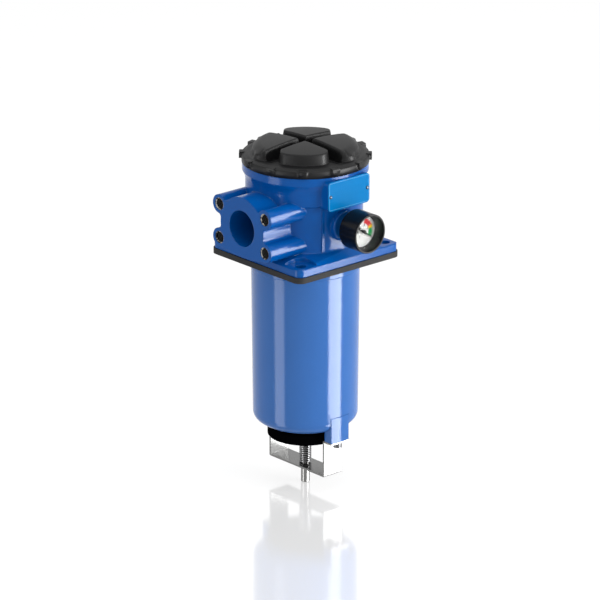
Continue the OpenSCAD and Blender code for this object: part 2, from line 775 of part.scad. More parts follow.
// Top cap of the element with its sealing spigot and lifting bridge.
module element_top_cap() {
    bridge_w = 9;
    bridge_h = 24;
    bar = 3;
    groove_r = element_ring_major - seal_minor - e;
    rim_r = chamber_r - 2;
    color([0.12, 0.12, 0.13]) union() {
        rotate_extrude() polygon([
            [cap_open_r, pleat_z1], [spigot_r, pleat_z1], [spigot_r, land_z0 + 2.3],
            [groove_r, land_z0 + 2.3], [groove_r, land_z0 + 2.5 + 2 * seal_minor],
            [spigot_r, land_z0 + 2.5 + 2 * seal_minor], [spigot_r, cap_z],
            [rim_r, cap_z], [rim_r, spring_z0], [cap_open_r, spring_z0]
        ]);
        for (x = [0, 1]) mirror([x, 0, 0])
            translate([cap_open_r + 1, -bridge_w / 2, cap_z + 1])
                cube([bar, bridge_w, bridge_h]);
        translate([-cap_open_r - 1 - bar, -bridge_w / 2, cap_z + 1 + bridge_h - bar])
            cube([2 * (cap_open_r + 1 + bar), bridge_w, bar]);
    }
}

// O-ring of the element.
module element_seal() {
    color([0.05, 0.05, 0.05])
        translate([0, 0, land_z0 + 2.4 + seal_minor]) rotate_extrude()
            translate([element_ring_major, 0]) circle(seal_minor, $fn = 32);
}

// Pleated filter medium.
module element_media() {
    k = 180 / pleat_n;
    color([0.92, 0.88, 0.74]) translate([0, 0, pleat_z0])
        linear_extrude(pleat_z1 - pleat_z0) polygon(
            points = concat(
                [for (i = [0:2 * pleat_n - 1])
                    let (r = i % 2 == 0 ? pleat_ro : pleat_ri + media_t)
                        [r * cos(i * k), r * sin(i * k)]],
                [for (i = [0:2 * pleat_n - 1])
                    let (r = i % 2 == 0 ? pleat_ro - media_t * 2 : pleat_ri - media_t * 0.6)
                        [r * cos(i * k), r * sin(i * k)]]
            ),
            paths = [[for (i = [0:2 * pleat_n - 1]) i],
                [for (i = [0:2 * pleat_n - 1]) 2 * pleat_n + i]]
        );
}

// Perforated support tube inside the pleats.
module element_core() {
    rows = 9;
    pitch = (pleat_z1 - pleat_z0 - 30) / (rows - 1);
    color([0.7, 0.7, 0.7]) difference() {
        ring(core_r, core_r - core_t, pleat_z0, pleat_z1);
        for (j = [0:rows - 1], i = [0:7])
            translate([0, 0, pleat_z0 + 14 + j * pitch]) rotate([0, 90, i * 45 + (j % 2) * 22.5])
                translate([0, 0, core_r - 2 * core_t]) cylinder(r = core_hole_r, h = 3 * core_t);
    }
}

// Closed bottom cap of the element.
module element_bottom_cap() {
    color([0.12, 0.12, 0.13]) rotate_extrude() polygon([
        [0, element_z], [pleat_ro + 1.2, element_z], [pleat_ro + 2, element_z + 0.8],
        [pleat_ro + 2, element_z + cap_h], [pleat_ro + 0.6, element_z + cap_h],
        [pleat_ro + 0.6, pleat_z0], [0, pleat_z0]
    ]);
}

// Valve disc with its rim and hub.
module valve_disc() {
    color([0.05, 0.05, 0.06]) rotate_extrude() polygon([
        [stem_r, disc_z], [disc_r - 1, disc_z], [disc_r, disc_z + 1],
        [disc_r, disc_top_z - 1.5], [disc_r - 1.5, disc_top_z], [stem_r, disc_top_z]
    ]);
}

// Rubber face on the valve disc.
module valve_seal() {
    color([0.08, 0.08, 0.08]) ring(seat_r + 4, seat_r - 4, disc_top_z, seat_z);
}

// Valve stem from the pusher under the element down through the bracket.
module valve_stem() {
    color([0.78, 0.78, 0.76]) rotate_extrude() polygon([
        [0, stem_z], [stem_r - 0.6, stem_z], [stem_r, stem_z + 0.6],
        [stem_r, disc_top_z], [stem_r + 4, disc_top_z], [stem_r + 4, disc_top_z + 3],
        [stem_r, disc_top_z + 4], [stem_r, element_z - 1.6],
        [stem_r - 1, element_z - 0.6], [0, element_z - 0.6]
    ]);
}

// Closing spring of the valve.
module valve_spring() {
    color([0.6, 0.6, 0.6])
        coil(vspring_r, vspring_wire_r, bracket_in_z, disc_z, vspring_n, 24, 8);
}

// Bracket bent from strip, with feet under the lugs and a hole for the stem.
module valve_bracket() {
    color([0.82, 0.82, 0.8]) difference() {
        union() {
            translate([-bracket_w / 2, -bracket_y, bracket_z])
                cube([bracket_w, 2 * bracket_y, bracket_t]);
            for (y = [0, 1]) mirror([0, y, 0]) {
                translate([-bracket_w / 2, bracket_y - bracket_t, bracket_z])
                    cube([bracket_w, bracket_t, lug_z - bracket_z]);
                translate([-bracket_w / 2, bracket_y - bracket_t, foot_z])
                    cube([bracket_w, bowl_r - bracket_y + bracket_t - 0.6, bracket_t]);
            }
        }
        for (y = [0, 1]) mirror([0, y, 0])
            translate([0, bracket_y, bracket_z]) difference() {
                translate([0, 0, bend_r / 2]) cube([40, 2 * bend_r, bend_r], center = true);
                translate([0, -bend_r, bend_r]) rotate([0, 90, 0])
                    cylinder(r = bend_r, h = 50, center = true);
                translate([0, -2 * bend_r, 0]) cube([50, 2 * bend_r, 9], center = true);
            }
        translate([0, 0, bracket_z - 1]) cylinder(r = stem_r + 0.05, h = bracket_t + 2);
        for (y = [-1, 1]) translate([0, y * screw_y, foot_z - 1])
            cylinder(r = 2.7, h = bracket_t + 2);
    }
}

// Two socket-head screws that hold the bracket to the lugs.
module bracket_screws() {
    color([0.25, 0.25, 0.26]) for (y = [-1, 1])
        translate([0, y * screw_y, foot_z - screw_head_h]) difference() {
            union() {
                cylinder(r = screw_head_r, h = screw_head_h);
                cylinder(r = 2.45, h = screw_head_h + bracket_t + screw_l);
            }
            translate([0, 0, -1]) cylinder(d = 5 / cos(30), h = 3.2, $fn = 6);
        }
}

head();
thread_inserts();
tank_gasket();
bowl();
nameplate();
nameplate_rivets();
gauge_stem();
gauge_case();
gauge_dial();
gauge_pointer();
gauge_lens();
gauge_bezel();
lid();
lid_o_ring();
hold_down_spring();
element_top_cap();
element_seal();
element_media();
element_core();
element_bottom_cap();
valve_disc();
valve_seal();
valve_stem();
valve_spring();
valve_bracket();
bracket_screws();
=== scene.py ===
# %% [markdown]
# # A suction filter for a hydraulic tank
# This lesson dresses the solid model of a suction filter with paint, plastic,
# rubber and steel, and sets it in a small white studio. The solids come from the
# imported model, so every new piece below is placed by their sizes, in metres.
# Z is up, the outlet port looks along -X and the gauge along -Y.

from math import cos, degrees, pi, radians, sin

import bmesh
import bpy
from mathutils import Matrix, Vector


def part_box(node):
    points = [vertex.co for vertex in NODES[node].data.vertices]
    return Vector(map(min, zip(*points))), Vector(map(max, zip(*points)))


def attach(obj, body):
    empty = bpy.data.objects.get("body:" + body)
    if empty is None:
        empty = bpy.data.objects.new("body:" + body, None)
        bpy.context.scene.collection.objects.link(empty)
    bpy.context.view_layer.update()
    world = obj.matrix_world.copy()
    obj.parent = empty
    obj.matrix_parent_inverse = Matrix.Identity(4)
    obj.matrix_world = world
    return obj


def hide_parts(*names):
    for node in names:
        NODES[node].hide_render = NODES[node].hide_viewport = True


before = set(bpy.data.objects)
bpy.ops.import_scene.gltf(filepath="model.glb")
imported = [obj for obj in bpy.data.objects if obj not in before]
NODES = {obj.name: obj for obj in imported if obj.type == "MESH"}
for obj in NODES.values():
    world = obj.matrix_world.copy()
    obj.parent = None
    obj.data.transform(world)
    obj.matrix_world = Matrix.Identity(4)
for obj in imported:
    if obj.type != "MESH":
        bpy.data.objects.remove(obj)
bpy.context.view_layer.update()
MM = 0.001

# %% [markdown]
# ## Writing shader maths as plain expressions
# A material is a graph of small nodes. It could be wired socket by socket, but a
# pattern of ten nodes is then hard to read. Here a small class wraps a socket
# and knows +, - and *, so that `1 - mask * 0.3` adds the Math nodes by itself.
# Every other node is made by one method, which first sets the node's own
# settings and then fills its sockets with values or links.


# %% A socket that can be calculated with
class Wire:
    def __init__(self, graph, socket):
        self.graph, self.socket = graph, socket

    def math(self, operation, other=None, flipped=False):
        values = [self] if other is None else [other, self] if flipped else [self, other]
        return self.graph.node("ShaderNodeMath", {"operation": operation}, dict(enumerate(values)))

    def __add__(self, other): return self.math("ADD", other)
    def __radd__(self, other): return self.math("ADD", other, True)
    def __sub__(self, other): return self.math("SUBTRACT", other)
    def __rsub__(self, other): return self.math("SUBTRACT", other, True)
    def __mul__(self, other): return self.math("MULTIPLY", other)
    def __rmul__(self, other): return self.math("MULTIPLY", other, True)
    def __gt__(self, other): return self.math("GREATER_THAN", other)
    def __lt__(self, other): return self.math("LESS_THAN", other)


# %% A graph of nodes, for a material or for the world
class Graph:
    def __init__(self, owner):
        owner.use_nodes = True
        self.tree = owner.node_tree
        self.tree.nodes.clear()

    def node(self, kind, settings=None, inputs=None, out=0):
        made = self.tree.nodes.new(kind)
        for key, value in (settings or {}).items():
            setattr(made, key, value)
        for key, value in (inputs or {}).items():
            if isinstance(value, Wire):
                self.tree.links.new(value.socket, made.inputs[key])
            elif isinstance(value, tuple) and made.inputs[key].type == "RGBA":
                made.inputs[key].default_value = (*value, 1)
            else:
                made.inputs[key].default_value = value
        return Wire(self, made.outputs[out])

    def seen(self):
        """1 where the camera looks, directly or by gloss or glass, and 0 for other light."""
        rays = [self.node("ShaderNodeLightPath", out=f"Is {kind} Ray")
                for kind in ("Camera", "Glossy", "Transmission")]
        return (rays[0] + rays[1] + rays[2]).math("MINIMUM", 1.0)

    def close(self, shader, kind="ShaderNodeOutputMaterial"):
        """Ends the graph in the shader that is shown."""
        end = self.tree.nodes.new(kind)
        self.tree.links.new(shader.socket, end.inputs["Surface"])


# %% A finish: one material, with its patterns in Object coordinates
class Finish(Graph):
    def __init__(self, name):
        self.material = bpy.data.materials.new(name)
        super().__init__(self.material)
        self.point = self.node("ShaderNodeTexCoord", out="Object")

    def noise(self, size_mm, detail=2, stretch=(1, 1, 1)):
        """Noise whose lumps are about size_mm across; stretch makes them longer."""
        placed = self.node("ShaderNodeMapping", {}, {
            "Vector": self.point, "Scale": tuple(1 / s for s in stretch)})
        return self.node("ShaderNodeTexNoise", {}, {
            "Vector": placed, "Scale": 0.5 / (size_mm * MM), "Detail": detail, "Roughness": 0.5})

    def axis(self, letter):
        return self.node("ShaderNodeSeparateXYZ", {}, {"Vector": self.point}, out=letter)

    def blend(self, factor, first, second):
        return self.node("ShaderNodeMix", {"data_type": "RGBA"}, {
            "Factor": factor, "A": first, "B": second}, out="Result")

    def soft_edges(self, radius_mm):
        return self.node("ShaderNodeBevel", {"samples": 4}, {"Radius": radius_mm * MM})

    def bump(self, height, depth_mm, under=None):
        inputs = {"Height": height, "Distance": depth_mm * MM, "Strength": 1.0}
        if under is not None:
            inputs["Normal"] = under
        return self.node("ShaderNodeBump", {}, inputs)

    def surface(self, **sockets):
        """Ends the graph in a Principled BSDF; base_color stands for Base Color."""
        values = {key.replace("_", " ").title().replace("Ior", "IOR"): value
                  for key, value in sockets.items()}
        self.close(self.node("ShaderNodeBsdfPrincipled", {}, values, out="BSDF"))
        return self


# %% Two helpers: giving a finish to solids, and colours as the screen shows them
def wear(finish, *names):
    for name in names:
        mesh = NODES[name].data
        mesh.materials.clear()
        mesh.materials.append(finish.material)
    print(f"{finish.material.name} -> {', '.join(names)}")


def linear(red, green, blue):
    """A 0-255 screen colour as the linear values that a shader wants."""
    return tuple((c / 255 / 12.92) if c <= 10 else ((c / 255 + 0.055) / 1.055) ** 2.4
                 for c in (red, green, blue))


# %% [markdown]
# ## Blue paint on castings
# The head and the bowl are aluminium castings with a gloss paint. Paint rounds
# every edge, lies in a faint orange peel, and lets the casting's slow waves
# through. It could be a clear coat over a dull base, but the coat would ignore
# the softened edges, so the base layer's own gloss is used. The bowl's blue is
# the paler one, and its skin is flatter.


# %% Paint for the head and the bowl
def casting_paint(name, blue, deep, edge_mm, wave_mm, rough, gloss):
    paint = Finish(name)
    patches = paint.noise(45)
    speckle = paint.noise(0.9)
    waves = paint.bump(paint.noise(16, 1), wave_mm, under=paint.soft_edges(edge_mm))
    return paint.surface(
        base_color=paint.blend(patches * 0.5 + speckle * 0.25, deep, blue),
        roughness=rough + speckle * 0.06,
        specular_ior_level=gloss,
        normal=paint.bump(paint.noise(1.6, 1), 0.011, under=waves))


wear(casting_paint("head_paint", linear(0, 88, 170), linear(0, 74, 146),
                   edge_mm=1.6, wave_mm=0.12, rough=0.13, gloss=0.17), "head")
wear(casting_paint("bowl_paint", linear(54, 108, 180), linear(46, 96, 164),
                   edge_mm=0.8, wave_mm=0.072, rough=0.12, gloss=0.26), "bowl")

# %% [markdown]
# ## Satin black plastic of the lid
# The lid is a heavy moulding in glass-filled nylon. It has a fine leathery grain
# that scatters the light, so its highlights are grey and wide. The grain could
# be modelled, but it is far finer than a pixel, so small noise in a Bump node
# makes it. The roughness changes slowly, as where hands have rubbed the lobes.

# %% Lid plastic
lid_plastic = Finish("lid_plastic")
grain = lid_plastic.noise(0.7, 3)
rubbed = lid_plastic.noise(24)
lid_plastic.surface(
    base_color=lid_plastic.blend(grain * 0.6 + rubbed * 0.4, linear(6, 6, 7), linear(18, 18, 19)),
    roughness=0.4 + rubbed * 0.14,
    specular_ior_level=0.22,
    normal=lid_plastic.bump(grain, 0.05, under=lid_plastic.soft_edges(0.9)))
wear(lid_plastic, "lid")

# %% [markdown]
# ## Plain mouldings and rubber
# The valve disc and the element's end caps are simple mouldings, and the O-rings
# and the valve face are smooth rubber. Up close each is a little uneven: the same
# fine mottle moves its colour, its gloss and sometimes its height. Each could
# have its own graph, but one function with a few numbers tells them apart.


# %% Mottled finishes
def mottled(name, dark, pale, lump_mm, rough, spread, gloss, depth_mm=0, edge_mm=0, detail=2):
    made = Finish(name)
    mottle = made.noise(lump_mm, detail)
    skin = made.soft_edges(edge_mm) if edge_mm else None
    if depth_mm:
        skin = made.bump(mottle, depth_mm, under=skin)
    shaped = {} if skin is None else {"normal": skin}
    return made.surface(base_color=made.blend(mottle, dark, pale),
                        roughness=rough + mottle * spread, specular_ior_level=gloss, **shaped)


wear(mottled("valve_plastic", linear(2, 2, 3), linear(7, 7, 9), lump_mm=0.5,
             rough=0.55, spread=0.1, gloss=0.0, depth_mm=0.02, edge_mm=0.6), "valve_disc")
wear(mottled("cap_plastic", linear(26, 27, 30), linear(44, 45, 48), lump_mm=0.6,
             rough=0.5, spread=0.1, gloss=0.2, depth_mm=0.03),
     "element_top_cap", "element_bottom_cap")
wear(mottled("seal_rubber", linear(16, 16, 17), linear(34, 34, 35), lump_mm=3,
             rough=0.4, spread=0.2, gloss=0.15, depth_mm=0.02, detail=3),
     "lid_o_ring", "element_seal", "valve_seal")

# %% [markdown]
# ## Sealing sheet
# The tank gasket is cut from fibre and rubber sheet, so it is dull and dark, with
# short fibres that lie flat. The fibres could be drawn one by one, but noise that
# is stretched along the sheet and left short across it reads the same.

# %% Gasket sheet
gasket_sheet = Finish("gasket_sheet")
fibres = gasket_sheet.noise(0.8, 3, stretch=(4, 4, 1))
blotches = gasket_sheet.noise(9)
gasket_sheet.surface(
    base_color=gasket_sheet.blend(fibres * 0.7 + blotches * 0.3,
                                  linear(30, 30, 31), linear(60, 59, 58)),
    roughness=0.62 + fibres * 0.2,
    specular_ior_level=0.14,
    normal=gasket_sheet.bump(fibres, 0.08, under=gasket_sheet.soft_edges(0.5)))
wear(gasket_sheet, "tank_gasket")

# %% [markdown]
# ## Bare metals
# Each bare metal shows how it was made. Strip is brushed along its length, rod
# is turned so its marks run round it, and spring wire is drawn. The Principled
# shader's anisotropy could do this, but it needs tangents on every piece. Noise
# stretched along the marks works on any shape, so one function makes them all.


# %% Bright metals
def bright_metal(name, colour, rough, mark_mm, stretch=(1, 1, 1), spread=0.12):
    metal = Finish(name)
    marks = metal.noise(mark_mm, 3, stretch)
    stain = metal.noise(12)
    return metal.surface(
        base_color=metal.blend(marks * 0.5 + stain * 0.5, tuple(c * 0.82 for c in colour), colour),
        metallic=1.0,
        roughness=rough + marks * spread,
        normal=metal.bump(marks, 0.01, under=metal.soft_edges(0.3)))


wear(bright_metal("bracket_steel", (0.21, 0.21, 0.208),
                  rough=0.2, mark_mm=0.25, stretch=(1, 40, 1), spread=0.08), "valve_bracket")
wear(bright_metal("stem_steel", (0.2, 0.198, 0.194),
                  rough=0.16, mark_mm=0.2, stretch=(30, 30, 1)), "valve_stem")
wear(bright_metal("spring_steel", (0.26, 0.26, 0.265),
                  rough=0.24, mark_mm=0.4), "valve_spring", "hold_down_spring")
wear(bright_metal("core_steel", (0.42, 0.42, 0.42),
                  rough=0.3, mark_mm=0.5, stretch=(1, 1, 20)), "element_core")
wear(bright_metal("rivet_metal", (0.06, 0.07, 0.09),
                  rough=0.3, mark_mm=0.3), "nameplate_rivets")
wear(bright_metal("gauge_brass", (0.56, 0.4, 0.18),
                  rough=0.24, mark_mm=0.3, stretch=(20, 1, 20)), "gauge_stem")
wear(bright_metal("screw_black", (0.1, 0.1, 0.105),
                  rough=0.32, mark_mm=0.4, stretch=(1, 1, 12)), "bracket_screws")

# %% [markdown]
# ## Nameplate
# The plate is thin aluminium with a light blue lacquer. It is left blank. A
# narrow bright line follows its border. It could be a thin frame laid on the
# plate, but it is only printed, so the material draws it from the distance to the
# plate's edges, and a fine brushed grain shows through the lacquer.

# %% Nameplate lacquer
LINE_IN, LINE_WIDTH = 1.6 * MM, 0.45 * MM
plate_low, plate_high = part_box("nameplate")
plate_mid, plate_half = (plate_low + plate_high) / 2, (plate_high - plate_low) / 2
plate_lacquer = Finish("plate_lacquer")
brushed = plate_lacquer.noise(0.35, stretch=(30, 1, 1))
across = (plate_lacquer.axis("X") - plate_mid.x).math("ABSOLUTE")
upward = (plate_lacquer.axis("Z") - plate_mid.z).math("ABSOLUTE")
outward = (across - (plate_half.x - LINE_IN)).math("MAXIMUM", upward - (plate_half.z - LINE_IN))
line = (outward > 0.0) * (outward < LINE_WIDTH)
lacquer = plate_lacquer.blend(brushed, linear(0, 109, 172), linear(0, 116, 180))
plate_lacquer.surface(
    base_color=plate_lacquer.blend(line * 0.35, lacquer, linear(150, 205, 235)),
    roughness=0.2 + brushed * 0.06,
    specular_ior_level=0.03,
    normal=plate_lacquer.bump(brushed, 0.002, under=plate_lacquer.soft_edges(0.3)))
wear(plate_lacquer, "nameplate")

# %% [markdown]
# ## Filter element
# The pleated medium is a cream paper that has soaked up some oil, so it darkens
# in patches. It is hidden in the bowl, but it is finished like the rest, with a
# large noise for the oil and a small one for the pulp.

# %% Pleated paper
media_paper = Finish("media_paper")
pulp = media_paper.noise(0.5, 4)
oil = media_paper.noise(30, stretch=(1, 1, 2))
media_paper.surface(
    base_color=media_paper.blend(oil, linear(236, 222, 180), linear(196, 170, 112)),
    roughness=0.75 + pulp * 0.15,
    specular_ior_level=0.15,
    normal=media_paper.bump(pulp, 0.05))
wear(media_paper, "element_media")

# %% [markdown]
# ## Vacuum gauge
# The gauge has a gloss black case and ring, a white dial, a black pointer and a
# clear window. The window could be real glass, but glass darkens what lies under
# it and takes long to render, so it is a thin skin that is nearly transparent and
# keeps its own reflection.

# %% Case, ring, dial, pointer and window
wear(mottled("gauge_black", linear(6, 8, 12), linear(14, 16, 22), lump_mm=6,
             rough=0.2, spread=0.06, gloss=0.15, edge_mm=0.6), "gauge_case")
wear(mottled("bezel_black", linear(2, 3, 5), linear(8, 9, 12), lump_mm=1.5,
             rough=0.16, spread=0.05, gloss=0.09, edge_mm=0.3), "gauge_bezel")
wear(mottled("dial_white", linear(222, 222, 219), linear(234, 234, 231), lump_mm=2,
             rough=0.5, spread=0.05, gloss=0.08, depth_mm=0.003), "gauge_dial")
wear(mottled("pointer_black", linear(12, 12, 12), linear(26, 26, 26), lump_mm=0.6,
             rough=0.45, spread=0.1, gloss=0.1), "gauge_pointer")

window = Finish("gauge_window")
dust = window.noise(5, 3)
window.surface(base_color=(0.02, 0.03, 0.03), roughness=0.03 + dust * 0.02,
               alpha=0.03 + dust * 0.02, specular_ior_level=0.2)
wear(window, "gauge_lens")

# %% [markdown]
# ## Print on the dial
# The coloured zones, the ticks and the figures are printed. They could be
# painted in the dial's material, but figures are hard to draw with maths. Very
# thin pieces on the dial stay sharp at any size: an edge spun through an angle
# for each zone, small boxes for the ticks, and text made a mesh. Zero is low on
# the right, and the scale runs against the clock.


# %% A helper that turns a bmesh into a finished piece
def piece(name, shape, finish, body, smooth=True):
    bmesh.ops.recalc_face_normals(shape, faces=shape.faces)
    mesh = bpy.data.meshes.new(name)
    shape.to_mesh(mesh)
    shape.free()
    if smooth:
        mesh.polygons.foreach_set("use_smooth", [True] * len(mesh.polygons))
        mesh.set_sharp_from_angle(angle=radians(35))
    mesh.materials.append(finish.material)
    made = bpy.data.objects.new(name, mesh)
    bpy.context.scene.collection.objects.link(made)
    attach(made, body)
    print(f"{name}: {len(mesh.polygons)} faces")
    return made


# %% Ink, and the place of the dial
def ink(name, colour):
    return mottled(name, tuple(c * 0.86 for c in colour), colour, lump_mm=0.8,
                   rough=0.5, spread=0.08, gloss=0.08)


ZERO_AT, SWEEP = -36, 270
dial_low, dial_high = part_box("gauge_dial")
dial_centre = (dial_low + dial_high) / 2
ON_DIAL = Matrix.Translation((dial_centre.x, dial_low.y, dial_centre.z)) @ Matrix.Rotation(
    radians(90), 4, "X")
print("dial in mm:", [round(v / MM, 1) for v in (dial_high - dial_low)])

# %% Coloured zones of the dial
ZONE_INNER, ZONE_OUTER, ZONE_LOW, ZONE_HIGH = 8.2 * MM, 13.6 * MM, 0.02 * MM, 0.1 * MM


def dial_zone(name, start, end, colour):
    shape = bmesh.new()
    corners = [shape.verts.new((r * cos(radians(start)), r * sin(radians(start)), h))
               for r, h in ((ZONE_INNER, ZONE_LOW), (ZONE_OUTER, ZONE_LOW),
                            (ZONE_OUTER, ZONE_HIGH), (ZONE_INNER, ZONE_HIGH))]
    profile = shape.faces.new(corners)
    bmesh.ops.spin(shape, geom=[profile, *profile.edges, *profile.verts], cent=(0, 0, 0),
                   axis=(0, 0, 1), angle=radians(end - start), steps=24)
    shape.transform(ON_DIAL)
    piece(name, shape, ink(name + "_ink", colour), "housing", smooth=False)


dial_zone("dial_zone_green", ZERO_AT, 9, linear(10, 150, 70))
dial_zone("dial_zone_yellow", 9, 24, linear(250, 200, 40))
dial_zone("dial_zone_red", 24, 78, linear(214, 46, 50))

# %% Ticks of the dial
TICKS, TICK_OUTER = 50, 15.9
shape = bmesh.new()
for k in range(TICKS + 1):
    long, middle = k % 10 == 0, k % 5 == 0
    length = 2.2 if long else 1.5 if middle else 0.9
    width = 0.8 if long else 0.4
    place = Matrix.Rotation(radians(ZERO_AT + k * SWEEP / TICKS), 4, "Z") @ Matrix.Translation(
        ((TICK_OUTER - length / 2) * MM, 0, 0.1 * MM))
    bmesh.ops.create_cube(shape, size=1, matrix=place @ Matrix.Diagonal(
        (length * MM, width * MM, 0.08 * MM, 1)))
shape.transform(ON_DIAL)
black_ink = ink("dial_black_ink", linear(18, 18, 18))
piece("dial_ticks", shape, black_ink, "housing", smooth=False)

# %% Figures of the dial
FIGURE_TALL, FIGURE_R = 3.4 * MM, 6.6 * MM
figures = []
for k, words in enumerate(["0", ".2", ".4", ".6", ".8", "1"]):
    angle = radians(ZERO_AT + k * SWEEP / 5)
    text = bpy.data.curves.new(f"figure_{k}", "FONT")
    text.body, text.size, text.extrude, text.offset = words, FIGURE_TALL, 0.03 * MM, 0.1 * MM
    text.align_x, text.align_y = "CENTER", "CENTER"
    holder = bpy.data.objects.new(f"figure_{k}", text)
    bpy.context.scene.collection.objects.link(holder)
    holder.matrix_world = ON_DIAL @ Matrix.Translation(
        (FIGURE_R * cos(angle), FIGURE_R * sin(angle), 0.08 * MM))
    figures.append(holder)
bpy.context.view_layer.update()
shape = bmesh.new()
for holder in figures:
    mesh = bpy.data.meshes.new_from_object(holder)
    mesh.transform(holder.matrix_world)
    shape.from_mesh(mesh)
    bpy.data.meshes.remove(mesh)
    bpy.data.objects.remove(holder)
piece("dial_figures", shape, black_ink, "housing", smooth=False)

# %% [markdown]
# ## Moulded top of the lid
# The top of the lid is one soft relief: four domed lobes stand round a cross of
# deep grooves, and every edge is round, so that a hand can turn it. It could be
# bevelled blocks joined by booleans, but their edges would meet in hard creases.
# Such a form is easy to write as a height over each point instead. Two of the
# lobes are slim and two are wide.

# %% Sizes of the lid's top, in millimetres
lid_low, lid_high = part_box("lid")
TOP_Z = lid_high.z / MM
CUT_Z = TOP_Z - 16.0
RIM_R, RIM_Z = 65.3, TOP_Z - 13.9
LUGS, LUG_REACH, LUG_HALF = 12, 2.5, 4.2
GROOVE_HALF, CORNER = 4.2, 6.0
# Each lobe's reach, half its width, the rounding of its outer edge, its dome's fall
SLIM_LOBE, WIDE_LOBE = (49.5, 24.8, 1.7, 2.6), (54.5, 33.0, 9.0, 3.2)
# How a lobe rises: the share of its steep wall, and the flare of a wide lobe's foot
WALL_SHARE, FLARE = 0.72, 4.5
# How the rim falls to its edge, and how deep the cross lies: its arms, then its middle
RIM_SLOPE, RIM_EDGE, ARM_DEPTH, MIDDLE_DEPTH = 1.4, 1.1, 2.6, 3.0
print("lid from", round(lid_low.z / MM, 1), "to", round(TOP_Z, 1), "mm")


# %% Heights of the lid
def ease(x, start, end):
    x = min(max((x - start) / (end - start), 0.0), 1.0)
    return x * x * (3 - 2 * x)


def round_over(x, width):
    """Rises like a quarter circle from 0 to 1 over a width."""
    x = min(max(x / width, 0.0), 1.0)
    return (1 - (1 - x) ** 2) ** 0.5


def lid_height(x, y):
    """Height of the lid's top at a point; the grooves run along both axes."""
    r = (x * x + y * y) ** 0.5
    off_groove = min(abs(x), abs(y))
    wide = x * y <= 0
    reach, half, rounding, fall = WIDE_LOBE if wide else SLIM_LOBE
    flank = min(off_groove - GROOVE_HALF, half - abs(abs(x) - abs(y)) / 2 ** 0.5)
    if wide:
        reach += FLARE * (1 - ease(flank, 0, 16))
    front = reach - r
    inside = min(flank, front)
    if flank < CORNER and front < CORNER:
        inside = CORNER - ((CORNER - flank) ** 2 + (CORNER - front) ** 2) ** 0.5
    crown = round_over(inside - 0.3, rounding if front < flank + 4 else 2.2)
    lift = WALL_SHARE * ease(inside, -1.4, 0.9) + (1 - WALL_SHARE) * crown
    if wide:
        lift *= 1 - 0.28 * ease(r, 44, 56) ** 2
    dome = TOP_Z - 0.1 - fall * (r / 46) ** 2
    rim = RIM_Z - RIM_SLOPE * ease(r, RIM_R - 6, RIM_R - 0.8) - RIM_EDGE * ease(r, RIM_R - 1, RIM_R)
    in_groove = 1 - ease(off_groove, 4.6, 6.2)
    sunk = ARM_DEPTH * ease(54 - r, 0, 4) + MIDDLE_DEPTH * ease(34 - r, 0, 24)
    ground = rim - sunk * in_groove
    return ground + (dome - ground) * max(lift, 0.0)


print("heights in mm: middle", round(lid_height(0, 0), 1), "groove", round(lid_height(30, 0), 1),
      "slim lobe", round(lid_height(20, 20), 1), "wide lobe", round(lid_height(20, -20), 1))

# %% [markdown]
# ## The relief's disc
# A flat grid is bent into a disc of rings and spokes, and each point is lifted to
# its height. Where a lug starts or ends, two spokes are moved close together, so
# that the rim steps out sharply there. A skirt then goes down all round.

# %% Spokes of the disc, with a close pair at both sides of each lug
SPOKES, RINGS = 480, 120
half_lug = degrees(LUG_HALF / RIM_R)
turns = [360 * k / SPOKES for k in range(SPOKES + 1)]
for lug in range(LUGS):
    for sign in (-1, 1):
        side = 45 + 30 * lug + sign * half_lug
        near = sorted(range(SPOKES), key=lambda k: abs((turns[k] - side + 180) % 360 - 180))[:2]
        first, second = sorted(near)
        turns[first], turns[second] = side % 360 - 0.03, side % 360 + 0.03
print("spokes:", SPOKES, "half a lug:", round(half_lug, 2), "degrees")

# %% The disc, lifted to its heights
shape = bmesh.new()
bmesh.ops.create_grid(shape, x_segments=RINGS, y_segments=SPOKES, size=0.5)
for v in shape.verts:
    ring, turn = v.co.x + 0.5, turns[round((v.co.y + 0.5) * SPOKES)]
    on_lug = abs((turn - 45 + 15) % 30 - 15) < half_lug
    r = ring * RIM_R if ring < 0.999 else RIM_R + (LUG_REACH if on_lug else 0.0)
    x, y = r * cos(radians(turn)), r * sin(radians(turn))
    z = lid_height(x * RIM_R / max(r, RIM_R), y * RIM_R / max(r, RIM_R))
    v.co = (x, y, RIM_Z - 0.4 if on_lug and ring > 0.95 else z)
bmesh.ops.remove_doubles(shape, verts=shape.verts, dist=0.0005)
print("disc:", len(shape.verts), "points")

# %% The skirt of the disc, and the finished relief
LID_ANGLE = radians(1)
border = [e for e in shape.edges if e.is_boundary]
for v in bmesh.ops.extrude_edge_only(shape, edges=border)["geom"]:
    if isinstance(v, bmesh.types.BMVert):
        v.co.z = CUT_Z - 0.5
shape.transform(Matrix.Rotation(LID_ANGLE, 4, "Z") @ Matrix.Scale(MM, 4))
relief = piece("lid_relief", shape, lid_plastic, "lid_turn")
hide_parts("lid")

# %% [markdown]
# ## The rest of the lid
# Below its rim the lid's own solid is already right, with its plug, its ring
# groove and its hollow. It could be modelled again, but it is better to copy it,
# merge its loose triangles and cut the copy off just under the top of the rim.
# The solid's shallow dish stays in the middle of the cross.

# %% The lid's solid below the rim
shape = bmesh.new()
shape.from_mesh(NODES["lid"].data)
shape.transform(NODES["lid"].matrix_world)
bmesh.ops.remove_doubles(shape, verts=shape.verts, dist=1e-6)
bmesh.ops.bisect_plane(shape, geom=[*shape.verts, *shape.edges, *shape.faces], dist=1e-7,
                       plane_co=(0, 0, CUT_Z * MM), plane_no=(0, 0, 1), clear_outer=True)
lower = piece("lid_lower", shape, lid_plastic, "lid_turn")
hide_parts("lid")

